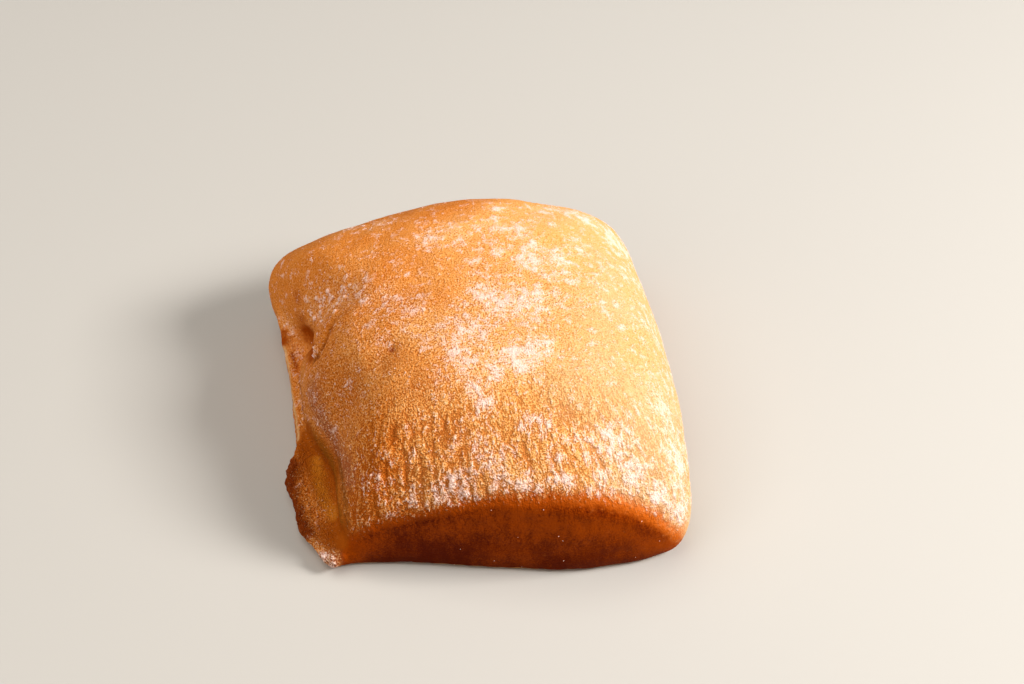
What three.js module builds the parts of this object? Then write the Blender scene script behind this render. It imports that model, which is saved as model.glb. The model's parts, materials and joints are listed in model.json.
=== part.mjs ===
// A square ciabatta roll, baked from one piece of dough, so it is one solid.
// The roll lies on its flat base. +Z is up, -Y is the front, where the smooth cut face shows,
// and -X is the left, where the dough was pinched into a ragged lip.
// The surface is a box grid: its top becomes the domed crust, its sides the wall, its bottom the base.
import * as THREE from "three";
import { mergeVertices } from "three/addons/utils/BufferGeometryUtils.js";

const { clamp, lerp, smoothstep, degToRad } = THREE.MathUtils;

// Driving dimensions, in millimetres unless a line says otherwise.
const CROWN_HEIGHT = 46.5;
const GRID_CELLS = 44; // cells along each side of the box, a plain count
const WALL_CELLS = 10; // cells from the base to the rim, a plain count

// Plan of the rim, the widest line round the roll, in four equal stretches to a side.
// It runs from the front left corner along the front, the right, the back and the left.
const RIM_PLAN = [
  [-43, -44.5], [-21.5, -49.2], [7, -54.5], [28.5, -56.8],
  [48.7, -51.6], [53.3, -26], [52.4, 1.5], [50.4, 26],
  [45.2, 47.6], [22.5, 55.2], [1, 57.2], [-28.5, 53.8],
  [-50.4, 43.8], [-49.8, 26], [-48.6, 3], [-51.8, -22],
];

// Sections of the roll at the corners and at the middles of the sides, in the rim's order.
// rim: height of the widest line. inset: how far the base's edge lies inside it.
// square and steep: powers of the dome's curve, plain numbers. A high square makes a boxy shoulder.
// cut: how much further the dome would run if the side had not been cut off upright.
const SECTIONS = [
  { rim: 6, inset: 3, square: 3.2, steep: 1.7, cut: 0 }, // front left corner, under the beak
  { rim: 9, inset: 1.8, square: 3.4, steep: 1.7, cut: 6 }, // front, the cut face
  { rim: 7, inset: 4, square: 3.6, steep: 2, cut: 0 }, // front right corner
  { rim: 10, inset: 7, square: 4, steep: 2.1, cut: 0 }, // right
  { rim: 9, inset: 6, square: 3.7, steep: 2.1, cut: 0 }, // back right corner
  { rim: 10, inset: 7, square: 4, steep: 2.1, cut: 0 }, // back
  { rim: 19, inset: 7, square: 2.7, steep: 1.6, cut: 0 }, // back left corner
  { rim: 9, inset: 1.5, square: 3.2, steep: 1.6, cut: 0 }, // left, inside the lip
];
const SIDES = SECTIONS.length / 2;
const CROWN_REACH = 54; // near the crown the level lines are rings, as if the rim had this reach all round
const CROWN_FADE = 1; // power by which they turn into the rim's own shape, a plain number

// The lip along the left side, two wider flaps of it, and the beak where it ends.
// Places along the left side run from -1 at the back to 1 at the front.
// seam: its least width. full: width from which the grid follows it in full.
// fillet: share of its width that rounds the valley, from filletLeast up to filletMost.
// cells: rings of the grid across it, a plain count. front: share of the front side it dies out over.
// back: the places along the left side between which it starts.
// pull: power by which it pulls the body's flank in, a plain number.
const LIP = {
  seam: 2.2, full: 0.73, sink: 0.5, fillet: 0.4, filletLeast: 1e-3, filletMost: 3,
  cells: 4, front: 0.11, back: [-0.86, -0.66], pull: 2.5,
};
const FLAPS = [
  { at: 0.6, spread: 0.36, width: 11, sink: 2.8, drop: 1.6 }, // front flap
  { at: -0.38, spread: 0.13, width: 4.5, sink: 2, drop: 0 }, // floor of the pocket under the fold
];
const BEAK = { reach: [0.6, -5.4], spread: 0.04, root: 0.7, rootSpread: 0.1 };
// Crags of the lip's edge: knobs that stick out and notches, where out is negative.
const CRAGS = [
  { at: -0.72, spread: 0.07, out: -0.8 },
  { at: -0.57, spread: 0.04, out: 0.6 },
  { at: 0.25, spread: 0.11, out: -2.6 },
  { at: 0.43, spread: 0.09, out: 0.5 },
  { at: 0.62, spread: 0.04, out: -0.5 },
  { at: 0.78, spread: 0.12, out: 1.6 },
];

// Hollows and swellings of the crust. at: centre in plan. half: half lengths along and across.
// turn: degrees from +X to the long way. depth: square into the crust, or out where it is negative.
const RELIEF = [
  { at: [-41, 35], half: [13, 11], turn: 0, depth: -0.8 }, // lobe of the back left corner
  { at: [-34, 12], half: [12, 3], turn: -42, depth: 1.3 }, // crease that runs up from the pocket
  { at: [-19, 6], half: [12, 6], turn: 10, depth: 0.6 }, // crease where it fades on the top
  { at: [-38, -1], half: [9, 10], turn: 0, depth: -1.5 }, // bulge in front of the crease
  { at: [-22.8, -9.5], half: [3.5, 3], turn: 0, depth: 1 }, // burst bubble
  { at: [11, 44], half: [14, 7], turn: 0, depth: -1.1 }, // swelling of the back edge
];
const RELIEF_FADE = [6, 14]; // heights between which the relief dies out towards the lip

const bell = (distance, spread) => Math.exp(-((distance / spread) ** 2));

function smoothMax(a, b, radius) {
  const mix = clamp(0.5 + (0.5 * (a - b)) / radius, 0, 1);
  return lerp(b, a, mix) + radius * mix * (1 - mix);
}

// Station of a point of the box, seen from above: 0 to 4 round the four sides.
function stationOf(u, v) {
  const reach = Math.max(Math.abs(u), Math.abs(v));
  if (reach === 0) return 0;
  const [s, t] = [u / reach, v / reach];
  if (t === -1) return (s + 1) / 2;
  if (s === 1) return 1 + (t + 1) / 2;
  if (t === 1) return 2 + (1 - s) / 2;
  return (3 + (1 - t) / 2) % SIDES;
}

const rimCurve = new THREE.CatmullRomCurve3(
  RIM_PLAN.map(([x, y]) => new THREE.Vector3(x, y, 0)), true, "catmullrom", 0.5,
);

// Width of the lip, how far its valley sinks below its edge, and how far the edge drops.
function lipAt(station) {
  const along = station < 1 ? 1 : station < 3 ? -1 : 2 * (station - 3) - 1;
  const share = station < 1
    ? 1 - smoothstep(station, 0, LIP.front) : smoothstep(along, ...LIP.back);
  const sum = (key, start) =>
    FLAPS.reduce((total, flap) => total + flap[key] * bell(along - flap.at, flap.spread), start);
  const crag = CRAGS.reduce((total, { at, spread, out }) => total + out * bell(along - at, spread), 0);
  const root = BEAK.root * bell(Math.min(station, SIDES - station), BEAK.rootSpread);
  return {
    width: share * (sum("width", LIP.seam) + root), sink: share * sum("sink", LIP.sink),
    drop: share * sum("drop", 0), crag: share * crag,
  };
}

// All that the roll's section needs at one station of its rim.
function sectionAt(station) {
  const first = Math.floor(station * 2);
  const step = smoothstep(station * 2 - first, 0, 1);
  const [a, b] = [SECTIONS[first % SECTIONS.length], SECTIONS[(first + 1) % SECTIONS.length]];
  const at = (key) => lerp(a[key], b[key], step);
  const plan = rimCurve.getPoint(station / SIDES);
  const lip = lipAt(station);
  const beak = bell(Math.min(station, SIDES - station), BEAK.spread);
  const outward = plan.clone().normalize().multiplyScalar(lip.crag);
  const reach = plan.length();
  const foot = reach - lip.width; // how far out the body stands on the lip
  const cut = at("cut");
  const low = at("rim") - lip.drop;
  const valley = low - lip.sink;
  const [square, steep] = [at("square"), at("steep")];
  // The dome comes down at the foot, or past it where it is cut. Near the crown it doesn't feel the lip.
  const heightAt = (distance) => {
    const share = distance / (cut + lerp(reach, foot, Math.min(distance / foot, 1) ** LIP.pull));
    const dome = share < 1 ? (1 - share ** square) ** (1 / steep) : 1 - share;
    return valley + (CROWN_HEIGHT - valley) * dome;
  };
  return {
    plan, reach, foot, lip, valley, heightAt, inset: at("inset"),
    rim: Math.max(low, heightAt(reach)),
    edge: [outward.x + beak * BEAK.reach[0], outward.y + beak * BEAK.reach[1]],
  };
}

function reliefAt(x, y) {
  return RELIEF.reduce((sum, { at, half, turn, depth }) => {
    const angle = degToRad(turn);
    const [dx, dy] = [x - at[0], y - at[1]];
    const along = dx * Math.cos(angle) + dy * Math.sin(angle);
    const across = dy * Math.cos(angle) - dx * Math.sin(angle);
    return sum + depth * bell(along, half[0]) * bell(across, half[1]);
  }, 0);
}

// Domed crust, from the crown over the body's foot and the lip to the rim.
function crustPoint(u, v) {
  const { plan, reach, foot, lip, valley, heightAt, edge } = sectionAt(stationOf(u, v));
  const out = Math.max(Math.abs(u), Math.abs(v));
  const lipStart = 1 - (2 * LIP.cells) / GRID_CELLS;
  const onLip = clamp((out - lipStart) / (1 - lipStart), 0, 1);
  const footed = out < lipStart
    ? (foot / reach) * Math.sin((out / lipStart) * Math.PI / 2) : lerp(foot / reach, 1, onLip);
  const lipped = smoothstep(lip.width, 0, LIP.full);
  const share = lerp(Math.sin(out * Math.PI / 2), footed, lipped);

  const rise = lip.width > 0 ? clamp((share * reach - foot) / lip.width, 0, 1) : 0;
  const shelf = valley + lip.sink * Math.sin(rise * Math.PI / 2);
  const rounding = Math.min(LIP.fillet * lip.width, LIP.filletMost) * lipped * (1 - rise ** 2);
  const body = heightAt(share * reach);
  const z = lip.width > 0 ? smoothMax(body, shelf, rounding + LIP.filletLeast) : body;

  const scale = share * lerp(CROWN_REACH / reach, 1, share ** CROWN_FADE);
  const [x, y] = [plan.x * scale + edge[0] * rise ** 2, plan.y * scale + edge[1] * rise ** 2];
  return [x, y, z];
}

// Wall, from the base's edge at w = -1 up to the rim at w = 1.
function wallPoint(u, v, w) {
  const { plan, reach, edge, rim, inset } = sectionAt(stationOf(u, v));
  const angle = (1 - w) * Math.PI / 4;
  const share = 1 - (inset * (1 - Math.cos(angle))) / reach;
  const hang = Math.cos(angle);
  return [plan.x * share + edge[0] * hang, plan.y * share + edge[1] * hang, rim * (1 - Math.sin(angle))];
}

function basePoint(u, v) {
  const { plan, reach, inset } = sectionAt(stationOf(u, v));
  const share = Math.max(Math.abs(u), Math.abs(v)) * (1 - inset / reach);
  return [plan.x * share, plan.y * share, 0];
}

// Splits each cell of the box along the line that runs from its corner of the roll to the crown.
function splitToCorners(geometry) {
  const position = geometry.getAttribute("position");
  const index = geometry.getIndex();
  for (let i = 0; i < index.count; i += 6) {
    const [a, b, c, d] = [index.getX(i), index.getX(i + 1), index.getX(i + 4), index.getX(i + 2)];
    const level = position.getZ(a) === position.getZ(c);
    const [u, v] = [position.getX(a) + position.getX(c), position.getY(a) + position.getY(c)];
    if (level && u * v < 0) [a, b, c, a, c, d].forEach((corner, k) => index.setX(i + k, corner));
  }
}

function rollGeometry() {
  const box = new THREE.BoxGeometry(2, 2, 2, GRID_CELLS, GRID_CELLS, WALL_CELLS);
  box.deleteAttribute("normal");
  box.deleteAttribute("uv");
  const geometry = mergeVertices(box);
  splitToCorners(geometry);
  const position = geometry.getAttribute("position");
  for (let i = 0; i < position.count; i++) {
    const [u, v, w] = [position.getX(i), position.getY(i), position.getZ(i)];
    const point = w === 1 ? crustPoint(u, v) : w === -1 ? basePoint(u, v) : wallPoint(u, v, w);
    position.setXYZ(i, ...point);
  }
  geometry.computeVertexNormals();
  const normal = geometry.getAttribute("normal");
  for (let i = 0; i < position.count; i++) {
    const [x, y, z] = [position.getX(i), position.getY(i), position.getZ(i)];
    const depth = reliefAt(x, y) * smoothstep(z, ...RELIEF_FADE);
    position.setXYZ(i, x - depth * normal.getX(i), y - depth * normal.getY(i), z - depth * normal.getZ(i));
  }
  // The origin is the middle of the roll's footprint, on the surface it lies on.
  geometry.computeBoundingBox();
  const middle = geometry.boundingBox.getCenter(new THREE.Vector3());
  geometry.translate(-middle.x, -middle.y, 0);
  geometry.computeVertexNormals();
  return geometry;
}

const crust = new THREE.MeshStandardMaterial({ color: 0xd9964f, roughness: 0.85, metalness: 0 });
const roll = new THREE.Mesh(rollGeometry(), crust);
roll.name = "roll";

const ciabatta = new THREE.Group();
ciabatta.add(roll);
export default ciabatta;
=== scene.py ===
# %% [markdown]
# A floured ciabatta roll
#
# The real roll is one lump of wet dough that was dusted with flour, cut square and baked on its flat
# base. The solid that is loaded here has its size and its main forms. This lesson gives it a skin: a
# finer mesh, wrinkles and grain pressed into it, the colours of the crust, and flour that lies on the
# ridges.

# %% Load the fixed frame
import json
import math

import bpy
import numpy as np
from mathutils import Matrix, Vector

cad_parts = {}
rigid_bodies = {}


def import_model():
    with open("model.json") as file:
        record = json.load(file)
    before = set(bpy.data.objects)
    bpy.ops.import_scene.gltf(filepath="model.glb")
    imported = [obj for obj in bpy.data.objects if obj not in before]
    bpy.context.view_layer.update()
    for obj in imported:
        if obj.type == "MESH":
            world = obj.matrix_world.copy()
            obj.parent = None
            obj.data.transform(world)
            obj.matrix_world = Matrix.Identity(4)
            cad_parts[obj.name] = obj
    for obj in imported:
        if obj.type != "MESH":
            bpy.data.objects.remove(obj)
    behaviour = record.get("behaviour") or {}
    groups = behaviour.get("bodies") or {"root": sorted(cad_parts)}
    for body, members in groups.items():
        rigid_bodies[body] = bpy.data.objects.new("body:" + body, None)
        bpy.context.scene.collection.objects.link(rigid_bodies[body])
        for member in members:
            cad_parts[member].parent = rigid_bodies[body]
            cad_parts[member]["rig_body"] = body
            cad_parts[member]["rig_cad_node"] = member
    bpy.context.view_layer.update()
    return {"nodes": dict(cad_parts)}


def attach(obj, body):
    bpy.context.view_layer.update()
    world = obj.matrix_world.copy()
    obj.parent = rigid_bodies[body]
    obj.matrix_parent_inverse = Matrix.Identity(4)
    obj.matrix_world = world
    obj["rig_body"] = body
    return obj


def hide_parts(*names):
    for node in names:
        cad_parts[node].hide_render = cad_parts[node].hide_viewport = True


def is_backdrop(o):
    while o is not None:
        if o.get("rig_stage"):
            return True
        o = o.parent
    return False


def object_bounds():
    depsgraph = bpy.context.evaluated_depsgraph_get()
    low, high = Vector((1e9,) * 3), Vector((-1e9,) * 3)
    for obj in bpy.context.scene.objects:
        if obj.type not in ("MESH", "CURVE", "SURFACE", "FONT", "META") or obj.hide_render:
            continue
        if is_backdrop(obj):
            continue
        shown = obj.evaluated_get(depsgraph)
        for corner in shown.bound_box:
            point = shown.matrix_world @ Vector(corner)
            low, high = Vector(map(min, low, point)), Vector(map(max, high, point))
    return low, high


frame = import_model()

MM = 0.001  # one millimetre in Blender's metres

# %% [markdown]
# Camera
#
# A roll that lies flat shows its top best from above, so the camera looks down by about half a right
# angle. A long lens from well away keeps the sides of the roll nearly parallel, as in a still life.

# %% Camera
AIM = Vector((10.9, 8.5, 20)) * MM
CAMERA_DISTANCE = 650 * MM
CAMERA_TURN, CAMERA_RISE = math.radians(-7), math.radians(47)
LENS_MM, SENSOR_MM = 85, 36
PICTURE = (1024, 684)  # size of the finished picture in pixels

towards_camera = Vector((
    math.sin(CAMERA_TURN) * math.cos(CAMERA_RISE),
    -math.cos(CAMERA_TURN) * math.cos(CAMERA_RISE),
    math.sin(CAMERA_RISE),
))
camera_turn = towards_camera.to_track_quat("Z", "Y")
bpy.ops.object.camera_add(location=AIM + CAMERA_DISTANCE * towards_camera, rotation=camera_turn.to_euler())
camera = bpy.context.active_object
camera.data.lens = LENS_MM
camera.data.sensor_width = SENSOR_MM
bpy.context.scene.camera = camera
print("camera at", [round(value, 3) for value in camera.location])

# %% [markdown]
# Floor and light
#
# The skin's wrinkles run from the back to the front, so one soft light low on the right rakes across them
# and gives each a bright and a dark side. A large one overhead and a weak fill keep the left and the
# front readable. Lights are aimed by turning their own -Z at the roll.

# %% Floor and light
FLOOR_SIZE = 6.0
FLOOR_COLOUR = (0.50, 0.49, 0.47, 1)
FLOOR_ROUGHNESS = 0.9
SURROUND = (1.0, 0.97, 0.93, 1)
SURROUND_STRENGTH = 0.18
LIGHTS = {  # places and sizes in metres
    "raking softbox": {
        "at": (0.76, -0.20, 0.62), "size": 0.32, "watts": 14.4, "colour": (1.0, 0.95, 0.89),
    },
    "overhead softbox": {
        "at": (-0.32, 0.05, 0.86), "size": 0.80, "watts": 4.8, "colour": (1.0, 0.93, 0.84),
    },
    "front fill": {
        "at": (-0.70, -0.50, 0.55), "size": 0.60, "watts": 2.1, "colour": (1.0, 0.91, 0.80),
    },
}

bpy.ops.mesh.primitive_plane_add(size=FLOOR_SIZE)
floor = bpy.context.active_object
floor.name = "floor"
floor_finish = bpy.data.materials.new("pale floor")
floor_finish.use_nodes = True
floor_shader = floor_finish.node_tree.nodes["Principled BSDF"]
floor_shader.inputs["Base Color"].default_value = FLOOR_COLOUR
floor_shader.inputs["Roughness"].default_value = FLOOR_ROUGHNESS
floor.data.materials.append(floor_finish)
floor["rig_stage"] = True

for name, light in LIGHTS.items():
    place = Vector(light["at"])
    turn = (place - AIM).to_track_quat("Z", "Y")
    bpy.ops.object.light_add(type="AREA", location=place, rotation=turn.to_euler())
    lamp = bpy.context.active_object
    lamp.name = name
    lamp.data.size = light["size"]
    lamp.data.energy = light["watts"]
    lamp.data.color = light["colour"]

world = bpy.data.worlds.new("studio")
world.use_nodes = True
world.node_tree.nodes["Background"].inputs["Color"].default_value = SURROUND
world.node_tree.nodes["Background"].inputs["Strength"].default_value = SURROUND_STRENGTH
bpy.context.scene.world = world
bpy.context.scene.view_settings.view_transform = "Standard"
print("lights:", list(LIGHTS))

# %% [markdown]
# A fine mesh
#
# The solid has cells of about two millimetres, which is too coarse for wrinkles of one. A copy is merged
# into one surface, rounded by a Subdivision Surface, and remeshed into even cells. Bread has no hard
# edge, so the crest of the front face, the gully behind the lip and the seam further back are smoothed
# again. The base is cut off flat, and only the crust that shows is then split once more, so that the
# triangles go where the detail is.

# %% Copy the solid
MERGE_DISTANCE = 0.001 * MM
bpy.ops.object.select_all(action="DESELECT")
solid = frame["nodes"]["roll"]
solid.select_set(True)
bpy.context.view_layer.objects.active = solid
bpy.ops.object.duplicate()
roll = bpy.context.active_object
roll.name = "floured_crust"
roll.parent = None
for mark in ("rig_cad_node", "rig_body"):  # marks of the loaded node, which its copy doesn't carry
    del roll[mark]
roll.data.materials.clear()

bpy.ops.object.mode_set(mode="EDIT")
bpy.ops.mesh.select_all(action="SELECT")
bpy.ops.mesh.remove_doubles(threshold=MERGE_DISTANCE)
bpy.ops.mesh.tris_convert_to_quads()
bpy.ops.object.mode_set(mode="OBJECT")
print("copy of the solid:", len(roll.data.vertices), "points")


# %% Even cells
def apply_modifier(piece, kind, **settings):
    """Adds a modifier with these settings and applies it."""
    bpy.context.view_layer.objects.active = piece
    modifier = piece.modifiers.new(kind.lower(), kind)
    for name, value in settings.items():
        setattr(modifier, name, value)
    bpy.ops.object.modifier_apply(modifier=modifier.name)


CELL = 0.94 * MM
SMOOTHING = 0.5  # share of the way to the middle of its neighbours that a point moves in one round
ROUNDING_LEVELS, EVEN_ROUNDS = 2, 6
apply_modifier(roll, "SUBSURF", levels=ROUNDING_LEVELS, render_levels=ROUNDING_LEVELS)
apply_modifier(roll, "REMESH", mode="VOXEL", voxel_size=CELL)
apply_modifier(roll, "SMOOTH", factor=SMOOTHING, iterations=EVEN_ROUNDS)
print("even cells:", len(roll.data.polygons))

# %% Rounded crest, gully and seam
SOFT_PLACES = {  # two corners of a box in millimetres, and how often its points are smoothed
    "crest": ((-38, -62, 4), (60, -38, 40), 8),
    "gully": ((-44, -50, 1.5), (-32, -8, 20), 14),
    "seam": ((-50, -10, 2), (-38, 28, 24), 6),
}
for name, (low, high, rounds) in SOFT_PLACES.items():
    inside = [
        point.index for point in roll.data.vertices
        if all(least < value / MM < most for least, value, most in zip(low, point.co, high))
    ]
    roll.vertex_groups.new(name=name).add(inside, 1.0, "REPLACE")
    apply_modifier(roll, "SMOOTH", factor=SMOOTHING, iterations=rounds, vertex_group=name)
    print(name, "smoothed at", len(inside), "points")
roll.vertex_groups.clear()

# %% Flat base
BASE_TRIM = 0.25 * MM
bpy.ops.object.mode_set(mode="EDIT")
bpy.ops.mesh.select_mode(type="FACE")
bpy.ops.mesh.select_all(action="SELECT")
bpy.ops.transform.translate(value=(0, 0, -BASE_TRIM))
bpy.ops.mesh.bisect(
    plane_co=(0, 0, 0), plane_no=(0, 0, 1), use_fill=True, clear_inner=True, threshold=MERGE_DISTANCE,
)
bpy.ops.mesh.select_all(action="DESELECT")
bpy.ops.object.mode_set(mode="OBJECT")
print("base cut flat, faces left:", len(roll.data.polygons))

# %% Finer cells on the crust that shows
CRUST_TILT = 0.12  # least upward part of a crust face's normal
CRUST_FOOT, CRUST_BACK = 2.5 * MM, 34 * MM
CRUST_CUTS, CRUST_ROUNDS = 1, 4
for face in roll.data.polygons:
    near_front = face.center.y < CRUST_BACK
    face.select = face.normal.z > CRUST_TILT and face.center.z > CRUST_FOOT and near_front
bpy.ops.object.mode_set(mode="EDIT")
bpy.ops.mesh.subdivide(number_cuts=CRUST_CUTS, smoothness=0)
bpy.ops.mesh.select_all(action="DESELECT")
bpy.ops.object.mode_set(mode="OBJECT")
apply_modifier(roll, "SMOOTH", factor=SMOOTHING, iterations=CRUST_ROUNDS)
bpy.ops.object.shade_smooth()
roll.data.calc_loop_triangles()
print("fine mesh:", len(roll.data.loop_triangles), "triangles")

# %% [markdown]
# Where things are
#
# A baker sees places on the roll: the smooth front face, the hollow behind the lip, the pocket under the
# fold, the dusted crest. Each place becomes a painted attribute of the mesh, from 0 to 1, worked out from
# the points, as weights would be painted by hand. Shape and colour then read the same paint. A pair of
# numbers says where a place starts and where it is full. Some places are easier to point at in the picture
# than to measure, so a ray through a pixel finds them on the crust.

# %% Points and paint
HALF_PAINTED = 0.5
count = len(roll.data.vertices)
points = np.empty(count * 3)
normals = np.empty(count * 3)
roll.data.vertices.foreach_get("co", points)
roll.data.vertices.foreach_get("normal", normals)
points = points.reshape(-1, 3) / MM
x, y, z = points.T
tilt = normals.reshape(-1, 3)[:, 2]  # upward part of each point's normal
print("points to paint:", count)


def rise(values, low, high):
    """A smooth step from 0 at low to 1 at high, which falls where low is the larger."""
    share = np.clip((values - low) / (high - low), 0, 1)
    return share * share * (3 - 2 * share)


def paint(name, values):
    """Keeps one number for each point of the crust, where nodes can read it by name."""
    layer = roll.data.attributes.new(name, "FLOAT", "POINT")
    layer.data.foreach_set("value", np.clip(values, 0, 1).astype(np.float32))
    print(f"{name}: {np.mean(values > HALF_PAINTED):.1%} of the points")


# %% Places that a pixel points at
def on_crust(pixel):
    """The place on the crust, in millimetres, that shows at a pixel, or the roll's middle if none does."""
    focal = LENS_MM / SENSOR_MM * PICTURE[0]
    ray = Vector((pixel[0] - PICTURE[0] / 2, PICTURE[1] / 2 - pixel[1], -focal))
    hit, place, _, _ = roll.ray_cast(camera.location, camera_turn @ ray)
    return np.array(place) / MM if hit else np.array(AIM) / MM


def spot(pixel, radius):
    """A soft round spot about the place that shows at a pixel, 1 at its middle."""
    return np.exp(-((np.linalg.norm(points - on_crust(pixel), axis=1) / radius) ** 2))


def line_distance(pixels):
    """Distance of every point from a line through these pixels, and its share of the way along."""
    stops = [on_crust(pixel) for pixel in pixels]
    best, way = np.full(count, np.inf), np.zeros(count)
    for index, (start, end) in enumerate(zip(stops, stops[1:])):
        along = end - start
        share = np.clip((points - start) @ along / (along @ along), 0, 1)
        distance = np.linalg.norm(points - start - share[:, None] * along, axis=1)
        way = np.where(distance < best, (index + share) / (len(stops) - 1), way)
        best = np.minimum(best, distance)
    return best, way


def stripe(pixels, width, tip=0.0):
    """A soft stripe along a line through pixels, 1 at its middle, which may die out towards its ends."""
    distance, way = line_distance(pixels)
    ends = rise(np.minimum(way, 1 - way), 0, tip) if tip else 1
    return np.exp(-((distance / width) ** 2)) * ends


# %% [markdown]
# Front face
#
# The front of the roll is an upright face like a lens, dark and smooth: its crust is browner, and it is
# also painted darker as shade. Above its crest runs an orange band without flour. A line of pixels along
# the crest is enough to tell face from top: every point at the front is above or below it. Painted shade
# makes the face darker to the left, at its foot and under the right end of the crest, where it turns
# under, and painted light makes it lighter towards the right.

# %% Front face and base
CREST_LINE = [
    (343, 546), (356, 541), (370, 534), (385, 529), (400, 525), (440, 516), (470, 511),
    (500, 507), (550, 505), (600, 507), (625, 512), (645, 520), (662, 529), (676, 540),
]
FRONT_DEPTH, FRONT_LEFT, FRONT_RIGHT = (-36, -42), (-41.5, -38.5), (51, 45)  # in millimetres
SUNNY_END = (26, 48)  # the right end of the crest, where the bare band is wider
FACE_TOP, FACE_FULL, SUNNY_FULL_LOWER = 3.2, -2.0, 3.0  # heights over the crest
BARE_BAND, SUNNY_BAND_WIDER = 4.5, 4.0
BASE_EDGE = (1.4, 0.3)
UNDERCUT_LINE = [(545, 512), (593, 513), (628, 520), (655, 534), (672, 544)]
UNDERCUT_WIDTH, UNDERCUT_TIP, UNDERCUT_SHADE = 2.2, 0.2, 0.5
LOW_FACE, LEFT_FACE, UNDER_CREST = (-4, -20), (5, -32), (-2, -12)
LOW_SHADE, LEFT_SHADE = 0.85, 0.25
crest_places = np.array([on_crust(pixel) for pixel in CREST_LINE])
above_crest = z - np.interp(x, crest_places[:, 0], crest_places[:, 2])
at_front = rise(y, *FRONT_DEPTH) * rise(x, *FRONT_LEFT) * rise(x, *FRONT_RIGHT)
sunny_end = rise(x, *SUNNY_END)
front = at_front * rise(above_crest, FACE_TOP, FACE_FULL - SUNNY_FULL_LOWER * sunny_end)
base = rise(z, *BASE_EDGE)
bare_band = BARE_BAND + SUNNY_BAND_WIDER * sunny_end
low_shade = LOW_SHADE * rise(above_crest, *LOW_FACE)
left_shade = LEFT_SHADE * rise(x, *LEFT_FACE) * rise(above_crest, *UNDER_CREST)
undercut_shade = UNDERCUT_SHADE * stripe(UNDERCUT_LINE, UNDERCUT_WIDTH, UNDERCUT_TIP)
paint("front", front)
paint("base", base)
paint("shade", low_shade + left_shade + undercut_shade)

# %% Browned places and painted shade
TOASTS_AND_SHADE = {  # depth of darkening, then spots: pixel across, pixel down and radius in millimetres
    "dark": (0.45, [
        (297, 298, 2.6), (301, 318, 2.6), (268, 284, 1.8), (330, 331, 1.6), (391, 350, 1.6),
        # Painted shade at the front-left corner, not browning.
        (357, 516, 5.0),
    ]),
    "warm": (0.30, [
        # The last spot, at (362, 488), is painted shade at the front-left corner; the others are browning.
        (388, 356, 8.0), (352, 386, 9.0), (420, 388, 8.0), (322, 376, 6.0), (362, 488, 6.0),
    ]),
}
FOOT_DEPTH, BAND_DEPTH, SUNNY_BAND_LESS = 0.40, 0.90, 0.15
BAND_SPREAD = 2.0
BACK_SIDE, RIGHT_SIDE, RIGHT_START, FOOT = (25, 45), (38, 48), (-35, -10), (16, 3)
band = at_front * rise(above_crest, bare_band + BAND_SPREAD, 0) * (BAND_DEPTH - SUNNY_BAND_LESS * sunny_end)
far_sides = np.maximum(rise(y, *BACK_SIDE), rise(x, *RIGHT_SIDE) * rise(y, *RIGHT_START))
browned_and_shaded = np.maximum(band, FOOT_DEPTH * far_sides * rise(z, *FOOT))
for depth, spots in TOASTS_AND_SHADE.values():
    for across, down, radius in spots:
        browned_and_shaded = np.maximum(browned_and_shaded, depth * spot((across, down), radius))
paint("browning_and_shade", browned_and_shaded)

# %% [markdown]
# The torn left side
#
# Along the left side a ragged lip stands out, with a hollow and a gully behind it. Further back lies a
# dark pocket under a fold. The solid has these forms already, so what is painted here is their colour, a
# little more depth, and light: painted shade in the gully and beside it, in the pocket and the fold, on
# the left flank and at the tip, and a painted highlight on the lip's amber slope. They are long and
# narrow, so most are soft stripes along a line of pixels.

# %% Lip, hollow and gully
VALLEY_LINE = [(314, 440), (331, 468), (340, 500), (341, 530)]
GULLY_LINE = [
    (312, 414), (316, 432), (326, 448), (334, 464), (338, 480), (341, 497), (343, 514), (344, 532),
]
AMBER_LINE = [(316, 452), (317, 468), (320, 485), (324, 500), (331, 512), (338, 520)]
RIM_LINE = [(297, 449), (291, 462), (289, 480), (291, 500), (297, 518), (306, 534), (315, 549)]
GULLY_WIDTH, AMBER_WIDTH, RIM_WIDTH = 2.8, 2.3, 3.2
GULLY_TIP, AMBER_TIP, RIM_TIP = 0.12, 0.1, 0.2
LIP_INSIDE, LIP_TOP, LIP_BACK = (-33, -37), (15, 10), (8, 2)
HOLLOW_REACH, HOLLOW_INSIDE, HOLLOW_TOP = (9.5, 3.5), (-31, -37), (17, 9)
GULLY_TOP = (18, 10)
TURNED_UNDER = (-0.5, 0)  # upward part of the normal
lip = rise(x, *LIP_INSIDE) * rise(z, *LIP_TOP) * rise(y, *LIP_BACK)
hollow = rise(line_distance(VALLEY_LINE)[0], *HOLLOW_REACH) * rise(x, *HOLLOW_INSIDE) * rise(z, *HOLLOW_TOP)
gully = stripe(GULLY_LINE, GULLY_WIDTH, GULLY_TIP) * rise(z, *GULLY_TOP)
rim = stripe(RIM_LINE, RIM_WIDTH, RIM_TIP)
paint("hollow", hollow)
paint("gully", gully)
paint("amber", stripe(AMBER_LINE, AMBER_WIDTH, AMBER_TIP))
paint("rim", rim)
paint("edge", lip * (1 - hollow) * rise(tilt, *TURNED_UNDER))

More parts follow.
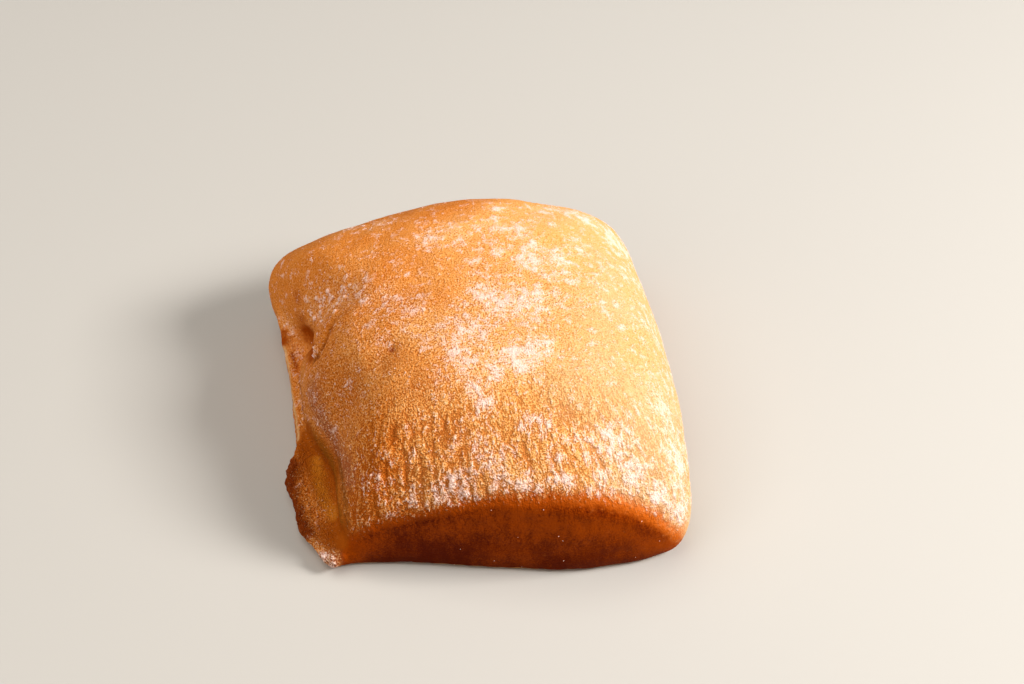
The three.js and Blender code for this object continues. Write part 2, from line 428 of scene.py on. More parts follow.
# %% Pocket, fold, wall and seam
POCKET_LINE = [(304, 336), (307, 346), (308, 353)]
KNOB_LINE = [(284, 333), (285, 344)]
SCAR, SCAR_RADIUS = (391, 349), 1.2
BEAK, BEAK_RADIUS = (331, 560), 3.2
FLANK_LINE = [(308, 372), (314, 398), (324, 424), (336, 446), (347, 472), (353, 502)]
BANK_LINE = [(338, 460), (342, 478), (345, 496), (347, 514), (348, 528)]
FOLD_LINE = [
    (306, 368), (312, 359), (317, 354), (322, 342), (326, 331), (332, 320), (345, 311), (376, 294),
]
WALL_LINE = [(285, 348), (288, 362), (290, 378), (292, 392), (294, 408), (296, 424), (298, 440)]
SEAM_LINE = [(290, 349), (293, 357), (296, 365), (299, 380), (302, 398), (303, 412), (304, 429)]
POCKET_WIDTH, KNOB_WIDTH, FLANK_WIDTH, BANK_WIDTH = 3.3, 1.5, 5.0, 2.6
FOLD_WIDTH, WALL_WIDTH, SEAM_WIDTH = 1.5, 0.65, 0.8
FLANK_TIP, SEAM_TIP = 0.15, 0.1
FOLD_STARTS, FOLD_FADES = (0.0, 0.1), (1.0, 0.6)  # shares of the way along the fold
fold_distance, fold_way = line_distance(FOLD_LINE)
fold_ends = rise(fold_way, *FOLD_STARTS) * rise(fold_way, *FOLD_FADES)
fold = np.exp(-((fold_distance / FOLD_WIDTH) ** 2)) * fold_ends
pocket = stripe(POCKET_LINE, POCKET_WIDTH)
knob = stripe(KNOB_LINE, KNOB_WIDTH)
flank = stripe(FLANK_LINE, FLANK_WIDTH, FLANK_TIP)
bank = stripe(BANK_LINE, BANK_WIDTH)
paint("bank", bank)
paint("pocket", pocket)
paint("knob", knob)
paint("flank", flank)
paint("fold", fold)
paint("scar", spot(SCAR, SCAR_RADIUS))
paint("beak", spot(BEAK, BEAK_RADIUS))
paint("wall", stripe(WALL_LINE, WALL_WIDTH))
paint("seam", stripe(SEAM_LINE, SEAM_WIDTH, SEAM_TIP))

# %% [markdown]
# Skin
#
# The skin is roughest towards the front, and smoother on the front face, in the hollow and in the pocket.
# Near the crest it is combed into wrinkles. Noise alone would put the deepest ones anywhere, so those
# are drawn one by one. The right side, where the light falls, is painted paler as painted light. It is
# painted less so at the back and in a few spots, which are painted shade.

# %% Skin, wrinkles and furrows
FURROW_WIDTH, FURROW_TIP = 0.6, 0.2
FURROWS = [  # the deepest wrinkles, each through three pixels
    [(470, 425), (462, 447), (455, 466)], [(420, 452), (421, 475), (424, 501)],
    [(433, 440), (435, 470), (438, 504)], [(446, 468), (447, 485), (451, 506)],
    [(458, 476), (459, 490), (463, 508)], [(468, 468), (470, 488), (474, 507)],
    [(481, 460), (483, 480), (487, 500)], [(498, 470), (501, 486), (504, 499)],
    [(369, 446), (371, 462), (374, 482)], [(385, 458), (386, 478), (389, 503)],
    [(404, 448), (405, 470), (408, 500)], [(371, 486), (375, 505), (379, 522)],
    [(522, 440), (527, 455), (531, 472)], [(548, 448), (556, 465), (563, 480)],
    [(590, 440), (598, 458), (606, 474)], [(446, 414), (443, 430), (440, 448)],
    [(412, 425), (411, 440), (409, 452)], [(396, 418), (393, 434), (391, 448)],
]
BACK_SKIN, SUNNY_SKIN_LESS = 0.48, 0.30
SKIN_BACK, SKIN_RIGHT = (40, -20), (0, 45)
SMOOTH_FACE, SMOOTH_HOLLOW, SMOOTH_POCKET = 0.85, 0.3, 0.4
COMBED_BACK, COMBED_FOOT, COMBED_LEFT = (-19, -39), (8, 14), (-48, -36)
# Painted light: the crust is painted paler and more golden towards the right, where the light falls. It is
# painted less so at the back and in the spots below, which are painted shade.
SUNNY_TURN, SUNNY_REACH, BACK_LESS_SUNNY = 0.10, (-38, 42), 0.28
LESS_LIT_SPOTS = [  # places painted as shade, where less light falls: pixel across, pixel down, radius in millimetres and how much
    (556, 446, 15.0, 0.38), (540, 262, 26.0, 0.30), (630, 262, 16.0, 0.30), (660, 366, 13.0, 0.20),
]
skin = (BACK_SKIN + (1 - BACK_SKIN) * rise(y, *SKIN_BACK)) * (1 - SUNNY_SKIN_LESS * rise(x, *SKIN_RIGHT))
for smoother, less in ((front, SMOOTH_FACE), (hollow, SMOOTH_HOLLOW), (pocket, SMOOTH_POCKET), (base, 1)):
    skin *= 1 - less * smoother
paint("skin", skin)
paint("furrow", np.max([stripe(pixels, FURROW_WIDTH, FURROW_TIP) for pixels in FURROWS], axis=0))
paint("combed", rise(y, *COMBED_BACK) * rise(z, *COMBED_FOOT) * rise(x, *COMBED_LEFT))
less_lit = sum(less * spot((across, down), radius) for across, down, radius, less in LESS_LIT_SPOTS)
less_lit += BACK_LESS_SUNNY * rise(y, *BACK_SIDE)
paint("painted_light", rise(x - SUNNY_TURN * y, *SUNNY_REACH) - less_lit)

# %% [markdown]
# Flour
#
# Flour that is dusted by hand lies in islands. Noise alone would spread it evenly, so each island is a soft
# spot of its own, with a wider and thinner halo. The material later frays their edges. Where the crust was
# rubbed or lies deep, the flour is swept off again.

# %% Flour that was dusted on
DUSTINGS = {  # thickness, then patches: pixel across, pixel down and radius in millimetres
    "heaped": (1.3, [(513, 355, 2.3), (529, 356, 2.3), (546, 344, 1.8), (522, 366, 1.6)]),
    "middle": (0.8, [
        (492, 366, 2.0), (492, 376, 1.8), (466, 366, 2.4), (474, 388, 2.2), (482, 404, 2.2),
        (456, 352, 2.6), (471, 331, 3.4), (529, 421, 2.0), (546, 424, 1.6), (500, 304, 4.0),
        (482, 293, 2.6), (530, 300, 5.0),
    ]),
    "left of the middle": (0.26, [
        (447, 322, 2.6), (408, 328, 3.2), (403, 300, 3.4), (434, 334, 2.4), (412, 311, 2.4),
        (385, 291, 3.0),
    ]),
    "front left": (0.36, [
        (374, 476, 2.6), (377, 492, 2.2), (393, 515, 2.0), (413, 503, 2.4), (409, 487, 2.0),
    ]),
    "front": (0.62, [
        (441, 487, 2.6), (439, 498, 2.2), (452, 480, 2.2), (455, 497, 2.4), (468, 478, 2.4),
        (475, 456, 2.0), (484, 448, 2.0), (473, 503, 2.2), (461, 507, 1.8), (500, 462, 2.0),
        (523, 483, 2.4), (519, 490, 2.2), (539, 486, 2.2), (556, 479, 2.6), (500, 483, 2.4),
        (568, 482, 2.2),
    ]),
    "right": (0.7, [
        (577, 432, 2.4), (607, 437, 2.8), (618, 441, 2.2), (602, 451, 2.2), (627, 466, 2.4),
        (633, 484, 2.4), (637, 475, 2.2), (556, 460, 2.2), (653, 500, 2.4), (663, 498, 2.4),
        (672, 514, 2.0), (680, 480, 2.6), (664, 411, 2.6), (671, 428, 2.6), (674, 450, 2.8),
        (682, 508, 2.2), (602, 478, 2.2), (611, 499, 1.8), (593, 493, 1.8),
    ]),
    "top": (0.55, [
        (428, 239, 3.0), (453, 228, 2.6), (461, 238, 2.2), (493, 225, 2.8), (518, 230, 2.6),
        (496, 209, 2.6), (530, 243, 2.4), (526, 258, 2.8), (539, 210, 2.4), (572, 213, 4.0),
        (589, 221, 3.6), (611, 238, 3.6), (621, 246, 3.0), (472, 263, 2.4), (499, 253, 2.0),
        (350, 228, 2.4), (378, 224, 2.2), (560, 262, 5.0),
    ]),
    "broad": (0.06, [(490, 400, 14.0), (460, 440, 12.0)]),
    "left": (0.28, [
        (318, 306, 4.6), (337, 300, 4.4), (352, 292, 4.0), (366, 300, 3.0), (284, 322, 2.0),
        (290, 334, 2.0), (296, 348, 2.0), (311, 357, 1.6), (316, 347, 1.4), (331, 561, 4.0),
        (324, 549, 3.0), (300, 506, 1.8), (304, 526, 1.8), (292, 486, 1.6), (310, 540, 2.0),
    ]),
    "beak": (0.12, [(331, 561, 3.0), (326, 551, 2.4), (320, 543, 1.8)]),
}
THIN_DUST = 0.27
CORE, HALO, HALO_WIDTH = 0.95, 0.14, 2.8
RIGHT_HALF, RIGHT_EDGE, CREST_EDGE = (-5, 40), (36, 47), -0.5
RIGHT_DUST, EDGE_DUST, FLANK_DUST = 0.12, 0.20, 0.12
BRUSHED, BRUSHED_RADIUS = (400, 368), 9.0  # a place where the flour was rubbed off
SWEPT = [  # places that hold less flour, and how much less
    (hollow, 0.8), (gully, 1), (pocket, 1), (knob, 1), (fold, 0.6), (rim, 0.95), (bank, 0.7),
    (spot(BRUSHED, BRUSHED_RADIUS), 0.4),
]
heaped = RIGHT_DUST * rise(x, *RIGHT_HALF) + EDGE_DUST * rise(x, *RIGHT_EDGE) + FLANK_DUST * flank
for thickness, patches in DUSTINGS.values():
    for across, down, radius in patches:
        place = (across, down)
        heaped += thickness * (CORE * spot(place, radius) + HALO * spot(place, radius * HALO_WIDTH))
dusting = THIN_DUST + (1 - THIN_DUST) * (1 - np.exp(-heaped))
dusting *= 1 - at_front * rise(above_crest, bare_band, CREST_EDGE)
for swept, less in SWEPT:
    dusting *= 1 - less * swept
paint("dusting", dusting)

# %% Clots of flour
CLOTS = [  # small lumps: pixel across, pixel down and radius in millimetres
    (316, 318, 0.80), (322, 312, 0.70), (323, 322, 0.55), (328, 291, 0.75), (317, 298, 0.70),
    (333, 297, 0.50), (338, 304, 0.55), (336, 312, 0.70), (312, 356, 0.50), (315, 348, 0.45),
    (345, 297, 0.50),
]
COARSE, COARSE_RADIUS = (328, 306), 10.0  # where the flour lies in crumbs
paint("clot", np.max([spot(clot[:2], clot[2]) for clot in CLOTS], axis=0))
paint("coarse", spot(COARSE, COARSE_RADIUS))

# %% [markdown]
# Sums in nodes
#
# Blender's node trees do arithmetic with one node for each step, which is slow to write and hard to read.
# A small class wraps a socket, so that an ordinary expression such as `1 - mask` adds its Math nodes by
# itself. The same class works in a material and in Geometry Nodes, so one function can give a pattern to
# both.

# %% The wire class
NOISE_MIDDLE, NOISE_SPREAD = 0.5, 4.0
MIX_SHARE, MIX_FIRST, MIX_SECOND, MIX_COLOUR = 0, 6, 7, 2  # a Mix node's sockets for colours


class Wire:
    """One socket of a node tree, which Python's operators can calculate with."""

    def __init__(self, tree, socket=None):
        self.tree = tree
        self.socket = socket

    def node(self, kind, settings=(), inputs=(), output=0):
        """Adds a node of any kind: its settings first, then the values or links of its sockets."""
        made = self.tree.nodes.new(kind)
        for name, value in dict(settings).items():
            setattr(made, name, value)
        for name, value in dict(inputs).items():
            if isinstance(value, Wire):
                self.tree.links.new(value.socket, made.inputs[name])
            else:
                made.inputs[name].default_value = value
        return Wire(self.tree, made.outputs[output])

    def math(self, operation, *values):
        """Adds a Math node that works on these numbers or wires."""
        return self.node("ShaderNodeMath", {"operation": operation}, enumerate(values))

    def __add__(self, other):
        return self.math("ADD", self, other)

    def __sub__(self, other):
        return self.math("SUBTRACT", self, other)

    def __rsub__(self, other):
        return self.math("SUBTRACT", other, self)

    def __mul__(self, other):
        return self.math("MULTIPLY", self, other)

    def __abs__(self):
        return self.math("ABSOLUTE", self)

    __radd__ = __add__
    __rmul__ = __mul__

    def most(self, other):
        """The larger of this wire and another."""
        return self.math("MAXIMUM", self, other)

    def rise(self, low, high):
        """A smooth step from 0 at low to 1 at high, which falls where low is the larger."""
        settings = {"interpolation_type": "SMOOTHSTEP"}
        return self.node("ShaderNodeMapRange", settings, {0: self, 1: low, 2: high})

    def xyz(self):
        """The three numbers of a place."""
        first = self.node("ShaderNodeSeparateXYZ", (), {0: self})
        return [Wire(self.tree, socket) for socket in first.socket.node.outputs]

    def over(self, sizes):
        """This place divided by three sizes."""
        return self.node("ShaderNodeVectorMath", {"operation": "DIVIDE"}, {0: self, 1: sizes})

    def noise(self, sizes, detail=2.0, roughness=0.5):
        """Soft random lumps of these three sizes, centred on 0 and mostly within -1 and 1."""
        inputs = {"Vector": self.over(sizes), "Scale": 1.0, "Detail": detail, "Roughness": roughness}
        return (self.node("ShaderNodeTexNoise", (), inputs) - NOISE_MIDDLE) * NOISE_SPREAD

    def mix(self, first, second):
        """A colour between two, with this wire as the share of the second."""
        inputs = {MIX_SHARE: self, MIX_FIRST: first, MIX_SECOND: second}
        return self.node("ShaderNodeMix", {"data_type": "RGBA"}, inputs, output=MIX_COLOUR)

    def paint(self, name, kind="FLOAT"):
        """A painted attribute of the mesh."""
        if self.tree.bl_idname == "GeometryNodeTree":
            return self.node("GeometryNodeInputNamedAttribute", {"data_type": kind}, {"Name": name})
        output = "Fac" if kind == "FLOAT" else "Vector"
        return self.node("ShaderNodeAttribute", {"attribute_name": name}, output=output)


# %% [markdown]
# The skin's pattern
#
# Dough skin dries before the inside has risen, so it cracks and wrinkles. Near the front the wrinkles run
# towards the crest, a millimetre or two apart, and fan out a little to the right. Elsewhere the skin is
# only grainy. Stretched noise gives the wrinkles. Its distance from its middle makes puffy ridges with a
# sharp crease between them, and the line where a wider noise passes its middle makes the long thin
# cracks.

# %% Wrinkles, cracks, grain and flour
SMOOTH_NOISE, SOFT_NOISE, RAGGED_NOISE = 0.0, 1.0, 3.0  # amounts of a noise's detail
FAN = 0.0045  # turn of the wrinkles for each millimetre to the right
WAVE, WAVE_SWING = (6.0, 7.0, 7.0), 0.3  # sizes in mm: across, along and up
CRACK, CRACK_WIDTH = (1.7, 6.5, 5.0), 0.35
RIDGE = (0.68, 2.5, 2.0)
GRAIN = (0.62, 0.68, 0.68)
DUST = (0.42, 0.47, 0.47)
CLUMP = (4.5, 6.0, 6.0)
GRANULE = (2.0, 2.2, 2.2)
STREAK = (1.15, 3.0, 2.6)
CRUMB, CRUMB_SHARE = (1.3, 1.4, 1.4), 0.35
RIDGE_TONE, COMBED_TONE, GRAIN_TONE, DUST_TONE = 0.08, 0.42, 0.40, 0.75
CRACK_TONE, FURROW_TONE = 0.52, 0.58
CLUMP_SHARE, GRANULE_SHARE, MARK_SHARE, RAGGED_LEAST = 0.16, 0.46, 0.26, 0.7
PUFF_SPREAD, PUFF_CREASE = 2.0, 0.8
FLOUR_FRAY = 0.65  # roughness of the noise at the flour's edges
COVER_STARTS, COVER_FULL = 0.34, 1.00
CLOT_RANGE, CLOT_MOST = (0.2, 0.7), 0.8


def comb(place):
    """A place whose first number runs square across the wrinkles, which fan out and waver a little."""
    across, along, up = place.xyz()
    waver = place.noise(WAVE, SMOOTH_NOISE) * WAVE_SWING
    fanned = across + along * (across * FAN) + waver
    return place.node("ShaderNodeCombineXYZ", (), {0: fanned, 1: along, 2: up})


def puffs(place, sizes):
    """Puffy cells with sharp creases between them, from -0.8 in a crease to about 1."""
    return abs(place.noise(sizes, SOFT_NOISE)) * PUFF_SPREAD - PUFF_CREASE


def cracks(place):
    """Long thin lines, 1 at their middle."""
    return 1 - abs(place.noise(CRACK)).rise(0.0, CRACK_WIDTH)


def skin_marks(start, place):
    """Fine ups and downs of the skin, from about -1 to 1, which shade the crust and hold the flour."""
    combed, wrinkled = start.paint("combed"), comb(place)
    ridge = puffs(wrinkled, RIDGE) * (RIDGE_TONE + combed * COMBED_TONE)
    speckle = puffs(place, GRAIN) * GRAIN_TONE + place.noise(DUST, SOFT_NOISE) * DUST_TONE
    marks = start.paint("skin") * (ridge + speckle - cracks(wrinkled) * combed * CRACK_TONE)
    return marks - start.paint("furrow") * FURROW_TONE


def flour_cover(start, place, marks):
    """How much of the crust the flour hides: small clumps, long on the wrinkles, that join into islands."""
    combed, wrinkled = start.paint("combed"), comb(place)
    granule = place.noise(GRANULE, RAGGED_NOISE, FLOUR_FRAY)
    streak = wrinkled.noise(STREAK, RAGGED_NOISE, FLOUR_FRAY)
    clump = wrinkled.noise(CLUMP, RAGGED_NOISE)
    dusting, clot = start.paint("dusting"), start.paint("clot").rise(*CLOT_RANGE)
    ragged = (granule * (1 - combed) + streak * combed) * GRANULE_SHARE + clump * CLUMP_SHARE
    ragged = ragged + marks * MARK_SHARE + puffs(place, CRUMB) * start.paint("coarse") * CRUMB_SHARE
    heap = dusting + ragged * (RAGGED_LEAST + dusting.rise(0.0, THIN_DUST) * (1 - RAGGED_LEAST))
    return heap.rise(COVER_STARTS, COVER_FULL).most(clot * CLOT_MOST) * (1 - start.paint("base"))


# %% [markdown]
# Pressing the skin into the mesh
#
# A wrinkle that is only painted vanishes when the roll is seen from the side, so the pattern moves the
# points. Geometry Nodes evaluates it at every point and pushes the point along its normal. Before that it
# stores the place at rest, so that the material's pattern lands on the same ridges.

# %% Relief by Geometry Nodes
RIDGE_RISE, PLAIN_RIDGE_RISE, CRACK_DEPTH = 0.12, 0.03, 0.19  # heights in millimetres
GRAIN_RISE, FLOUR_RISE, LUMP_RISE = 0.06, 0.18, 0.30
EDGE_RISE, FRONT_RISE = 0.45, 0.12
PLACE_RISES = {
    "fold": -1.2, "furrow": -0.26, "pocket": -1.8, "gully": 0.8, "amber": 0.2,
    "knob": 0.7, "scar": -0.35, "clot": 0.8,
}
LUMP = (11.0, 11.0, 9.0)  # sizes in mm
EDGE_CRAG = (1.6, 1.9, 1.5)
FRONT_RIPPLE = (3.0, 3.0, 9.0)


def new_geometry_tree(name):
    """An empty Geometry Nodes tree that takes a mesh and gives a mesh."""
    tree = bpy.data.node_groups.new(name, "GeometryNodeTree")
    tree.interface.new_socket("Mesh", in_out="INPUT", socket_type="NodeSocketGeometry")
    tree.interface.new_socket("Mesh", in_out="OUTPUT", socket_type="NodeSocketGeometry")
    return tree


def relief_tree():
    """Geometry Nodes that press the skin's pattern into the crust."""
    tree = new_geometry_tree("skin relief")
    start = Wire(tree)
    mesh = start.node("NodeGroupInput")
    place = start.node("GeometryNodeInputPosition").over((MM, MM, MM))
    wrinkled, combed = comb(place), start.paint("combed")
    ridge, crack = puffs(wrinkled, RIDGE), cracks(wrinkled)
    wrinkles = combed * (ridge * RIDGE_RISE - crack * CRACK_DEPTH) + (1 - combed) * ridge * PLAIN_RIDGE_RISE
    height = start.paint("skin") * (wrinkles + puffs(place, GRAIN) * GRAIN_RISE)
    height = height + place.noise(LUMP, SOFT_NOISE) * LUMP_RISE
    height = height + start.paint("edge") * place.noise(EDGE_CRAG) * EDGE_RISE
    height = height + start.paint("front") * place.noise(FRONT_RIPPLE) * FRONT_RISE
    height = height + flour_cover(start, place, skin_marks(start, place)) * FLOUR_RISE
    for name, millimetres in PLACE_RISES.items():
        height = height + start.paint(name) * millimetres
    height = height * (1 - start.paint("base"))

    settings = {"data_type": "FLOAT_VECTOR", "domain": "POINT"}
    stored = {"Geometry": mesh, "Name": "rest", "Value": place}
    mesh = start.node("GeometryNodeStoreNamedAttribute", settings, stored)
    normal = start.node("GeometryNodeInputNormal")
    scaling = {"Vector": normal, "Scale": height * MM}
    push = start.node("ShaderNodeVectorMath", {"operation": "SCALE"}, scaling)
    mesh = start.node("GeometryNodeSetPosition", (), {"Geometry": mesh, "Offset": push})
    tree.links.new(mesh.socket, tree.nodes.new("NodeGroupOutput").inputs[0])
    return tree


apply_modifier(roll, "NODES", node_group=relief_tree())
print("crust after relief:", len(roll.data.polygons), "faces")

# %% [markdown]
# Crust and flour
#
# Baked crust runs from pale gold to red-brown, and flour is a matt, faintly pink white. The material lays
# them in the order they came: crust, browning on the edges, a thin veil of flour that catches on every
# grain and also lightens the ridges as a painted highlight, then ragged islands of flour where the
# dusting was thick. The crust's colour also holds painted light towards the right and painted shade in
# the creases, on the front face and in the hollows of the left side. An image could be painted instead,
# but nodes need no file and stay sharp close up.

# %% Colours
SCREEN_MOST = 255
SCREEN_KNEE, SCREEN_SLOPE = 0.04, 12.92  # the straight start of a screen's curve of brightness
SCREEN_OFFSET, SCREEN_POWER = 0.055, 2.4  # the bent rest of it


def linear(share):
    """A screen's brightness, from 0 to 1, in the linear numbers that shaders use."""
    if share < SCREEN_KNEE:
        return share / SCREEN_SLOPE
    return ((share + SCREEN_OFFSET) / (1 + SCREEN_OFFSET)) ** SCREEN_POWER


def srgb(red, green, blue):
    """A colour as seen on a screen, from 0 to 255, for a shader."""
    return (*[linear(channel / SCREEN_MOST) for channel in (red, green, blue)], 1)


# Gold and pale are painted towards the right, where the light falls, as painted light, and also in random
# patches.
GOLD = srgb(235, 166, 90)
ORANGE = srgb(213, 124, 43)
PALE = srgb(213, 175, 124)
BROWN = srgb(156, 66, 8)
# Painted light: browning that is painted lighter towards the right, where the light falls.
SUNNY_BROWN = srgb(204, 100, 26)
# Painted shade: the dark orange-brown laid into the skin's creases and furrows.
CREASE_SHADE = srgb(160, 68, 0)
# Partly painted shade: the front face's dark brown is its own browner crust, painted darker still because
# that face gets little light.
FRONT_BROWN = srgb(86, 21, 0)
FRONT_AMBER = srgb(154, 62, 0)
FLOUR = srgb(250, 219, 210)
VEIL = srgb(250, 206, 158)
SHADED_FLOUR = srgb(238, 201, 184)
PLACE_COLOURS = {  # for each painted place: where its colour starts to show, where it is full, the colour
    # The flank and bank colours are painted shade: a darker, mauve brown on the shaded left flank and
    # beside the gully.
    "flank": (0.05, 1.4, srgb(162, 86, 50)),
    "bank": (0.05, 1.4, srgb(136, 74, 22)),
    "hollow": (0.0, 1.0, srgb(160, 78, 12)),
    # Amber is the lip's own yellow-brown, painted lighter where the light falls on its slope: partly a
    # painted highlight.
    "amber": (0.1, 1.2, srgb(196, 116, 28)),
    "rim": (0.05, 1.0, srgb(124, 50, 10)),
    # The gully and pocket colours are bare crust, painted darker as shade in their recesses.
    "gully": (0.05, 1.2, srgb(148, 84, 20)),
    "pocket": (0.05, 1.0, srgb(152, 66, 4)),
    "knob": (0.1, 1.1, srgb(156, 66, 6)),
    "scar": (0.2, 1.1, srgb(150, 62, 20)),
    "wall": (0.1, 1.1, srgb(222, 170, 114)),
    "seam": (0.2, 1.2, srgb(150, 62, 6)),
    # The fold and beak colours are painted shade: the fold's crease, and the shaded flour at the tip.
    "fold": (0.3, 1.3, srgb(130, 60, 10)),
    "beak": (0.1, 1.1, srgb(136, 70, 40)),
    "base": (0.0, 1.0, srgb(196, 142, 88)),
}

# %% Crust material
PATCH = (16.0, 16.0, 16.0)  # sizes in mm
SPECK, SPECK_FRAY = (1.6, 1.6, 1.6), 0.6  # the second is the noise's roughness
RIPPLE = (2.2, 2.2, 8.0)
PATCH_TONE, SPECK_TONE, RAGGED = 0.18, 0.12, 0.35
GOLD_RANGE, PALE_RANGE = (-0.1, 0.5), (0.4, 1.05)
BROWN_RANGE, SUNNY_BROWN_RANGE = (0.0, 0.8), (0.5, 1.0)
DARK_RANGE, DARK_SHARE, SUNNY_DARK_LESS = (0.0, 0.7), 0.82, 0.48  # painted shade: how far the creases darken, less where the light falls
FRONT_PATCH, FRONT_RIPPLE_TONE, FRONT_MARK_TONE = 0.45, 0.25, 2.6
FRONT_RANGE, FACE_RANGE, FACE_MARK_RANGE = (-1.0, 0.6), (0.0, 0.9), (0.5, 1.0)
VEIL_MARKS, VEIL_RANGE, VEIL_MOST = 0.70, (0.2, 1.0), 0.55
COVER_MOST = 0.90
# Painted light: the front face is painted lighter towards the right, where the light falls.
SUNNY_FRONT = 0.42
CRUST_ROUGHNESS, FLOUR_ROUGHNESS = 0.62, 0.97
SPECULAR = 0.02
MARK_HEIGHT, SUNNY_MARK_LESS = 0.24, 0.11  # bump in millimetres
COVER_HEIGHT, SPECK_HEIGHT = 0.07, 0.03


def crust_colour(start, place, marks, specks):
    """Gold and pale towards the right as painted light and in random patches, orange elsewhere, with
    painted shade in the creases.
    """
    patches = place.noise(PATCH, RAGGED_NOISE)
    frayed = 1 + specks * RAGGED
    painted_light = start.paint("painted_light")
    painted_light_and_tone = painted_light + patches * PATCH_TONE
    colour = painted_light_and_tone.rise(*GOLD_RANGE).mix(ORANGE, GOLD)
    colour = (painted_light_and_tone + specks * SPECK_TONE).rise(*PALE_RANGE).mix(colour, PALE)
    brown = painted_light.rise(*SUNNY_BROWN_RANGE).mix(BROWN, SUNNY_BROWN)
    colour = (start.paint("browning_and_shade") * frayed).rise(*BROWN_RANGE).mix(colour, brown)
    dark = (0.0 - marks).rise(*DARK_RANGE) * (DARK_SHARE - painted_light * SUNNY_DARK_LESS)
    colour = dark.mix(colour, CREASE_SHADE)

    ripples = place.noise(RIPPLE, RAGGED_NOISE)
    front = start.paint("front")
    # Painted light and painted shade on the front face, with random patches and ripples of its own tone.
    face_light_and_tone = patches * FRONT_PATCH + ripples * FRONT_RIPPLE_TONE + painted_light * SUNNY_FRONT - start.paint("shade")
    face_light_and_tone = face_light_and_tone + marks * front.rise(*FACE_MARK_RANGE) * FRONT_MARK_TONE
    face = face_light_and_tone.rise(*FRONT_RANGE).mix(FRONT_BROWN, FRONT_AMBER)
    colour = (front * frayed).rise(*FACE_RANGE).mix(colour, face)
    for name, (shows, full, place_colour) in PLACE_COLOURS.items():
        colour = (start.paint(name) * frayed).rise(shows, full).mix(colour, place_colour)
    return colour


def crust_material():
    """Crust with its browning, the veil and the islands of flour, and the finest relief as bump."""
    finish = bpy.data.materials.new("floured crust")
    finish.use_nodes = True
    tree = finish.node_tree
    shader = tree.nodes["Principled BSDF"]
    start = Wire(tree)
    place = start.paint("rest", "FLOAT_VECTOR")
    marks = skin_marks(start, place)
    specks = place.noise(SPECK, RAGGED_NOISE, SPECK_FRAY)
    cover = flour_cover(start, place, marks)

    colour = crust_colour(start, place, marks, specks)
    # The veil is flour, and it is thicker on the ridges, so it also paints them lighter as a painted
    # highlight.
    veil = (start.paint("dusting") + marks * VEIL_MARKS).rise(*VEIL_RANGE)
    colour = (veil * VEIL_MOST).mix(colour, VEIL)
    colour = (cover * COVER_MOST).mix(colour, FLOUR)
    tree.links.new(colour.socket, shader.inputs["Base Color"])

    rough = CRUST_ROUGHNESS + cover * (FLOUR_ROUGHNESS - CRUST_ROUGHNESS)
    tree.links.new(rough.socket, shader.inputs["Roughness"])
    shader.inputs["Specular IOR Level"].default_value = SPECULAR
    mark_height = MARK_HEIGHT - start.paint("painted_light") * SUNNY_MARK_LESS
    fine = marks * mark_height + cover * COVER_HEIGHT + specks * SPECK_HEIGHT
    bump = start.node("ShaderNodeBump", (), {"Strength": 1.0, "Distance": MM, "Height": fine})
    tree.links.new(bump.socket, shader.inputs["Normal"])
    return finish


roll.data.materials.append(crust_material())
print("crust material:", len(roll.data.materials[0].node_tree.nodes), "nodes")

# %% [markdown]
# Loose flour
#
# Flour that did not soak in lies on the crust as grains and small clumps, about a third of a millimetre
# across. They are real lumps, so Geometry Nodes scatters small balls over the islands of flour and turns
# them into one mesh.

# %% Grains of flour
GRAINS_PER_SQUARE_METRE = 1_600_000
STRAYS_PER_SQUARE_METRE = 7_000  # on the bare front face
GRAIN_RADIUS = 0.15 * MM
GRAIN_SCALES = (0.5, 0.4, 0.4), (1.5, 1.3, 1.1)
GRAIN_SEED = 7
FLOUR_TINT, TINT_RANGE = (1.2, 1.2, 1.2), (-1.0, 1.0)  # size in mm of the flour's patches of colour


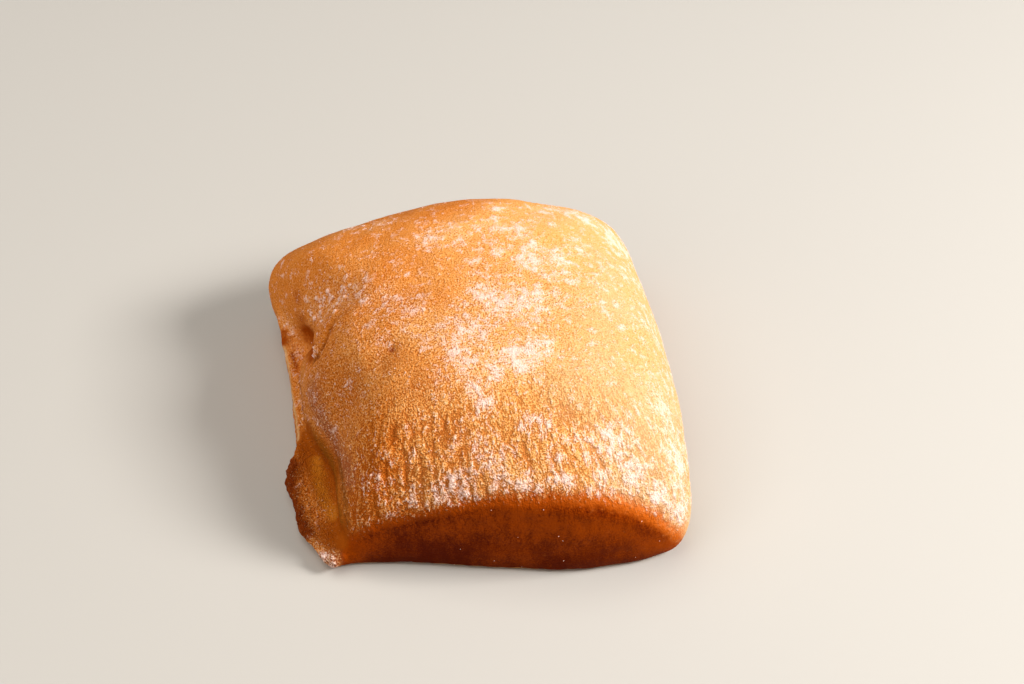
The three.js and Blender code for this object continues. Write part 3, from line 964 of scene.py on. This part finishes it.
def grains_tree():
    """Geometry Nodes that replace the crust by the flour grains that lie on it."""
    tree = new_geometry_tree("flour grains")
    start = Wire(tree)
    crust = start.node("NodeGroupInput")
    place = start.paint("rest", "FLOAT_VECTOR")
    share = flour_cover(start, place, skin_marks(start, place))
    strays = start.paint("front") * (1 - start.paint("base")) * STRAYS_PER_SQUARE_METRE
    density = share * GRAINS_PER_SQUARE_METRE + strays
    strewn = {"Mesh": crust, "Density": density, "Seed": GRAIN_SEED}
    places = start.node("GeometryNodeDistributePointsOnFaces", (), strewn)
    grain = start.node("GeometryNodeMeshIcoSphere", (), {"Radius": GRAIN_RADIUS, "Subdivisions": 1})
    sizes = {"Min": GRAIN_SCALES[0], "Max": GRAIN_SCALES[1], "Seed": GRAIN_SEED}
    scale = start.node("FunctionNodeRandomValue", {"data_type": "FLOAT_VECTOR"}, sizes)
    turns = {"Min": (0, 0, 0), "Max": (math.tau,) * 3, "Seed": GRAIN_SEED + 1}
    turn = start.node("FunctionNodeRandomValue", {"data_type": "FLOAT_VECTOR"}, turns)
    scatter = {"Points": places, "Instance": grain, "Rotation": turn, "Scale": scale}
    scattered = start.node("GeometryNodeInstanceOnPoints", (), scatter)
    scattered = start.node("GeometryNodeRealizeInstances", (), {0: scattered})
    tree.links.new(scattered.socket, tree.nodes.new("NodeGroupOutput").inputs[0])
    return tree


def flour_material():
    """Matt flour, a little darker in patches."""
    finish = bpy.data.materials.new("loose flour")
    finish.use_nodes = True
    tree = finish.node_tree
    shader = tree.nodes["Principled BSDF"]
    place = Wire(tree).node("ShaderNodeTexCoord", output="Object").over((MM, MM, MM))
    colour = place.noise(FLOUR_TINT).rise(*TINT_RANGE).mix(SHADED_FLOUR, FLOUR)
    tree.links.new(colour.socket, shader.inputs["Base Color"])
    shader.inputs["Roughness"].default_value = FLOUR_ROUGHNESS
    shader.inputs["Specular IOR Level"].default_value = SPECULAR
    return finish


bpy.ops.object.select_all(action="DESELECT")
roll.select_set(True)
bpy.context.view_layer.objects.active = roll
bpy.ops.object.duplicate()
grains = bpy.context.active_object
grains.name = "flour_grains"
apply_modifier(grains, "NODES", node_group=grains_tree())
grains.data.materials.clear()
grains.data.materials.append(flour_material())
print("flour grains:", len(grains.data.polygons), "faces")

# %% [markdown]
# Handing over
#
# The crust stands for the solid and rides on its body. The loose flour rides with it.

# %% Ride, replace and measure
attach(roll, "root")
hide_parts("roll")
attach(grains, "root")
low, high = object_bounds()
print("visual box in mm:", [round(size / MM, 1) for size in high - low])
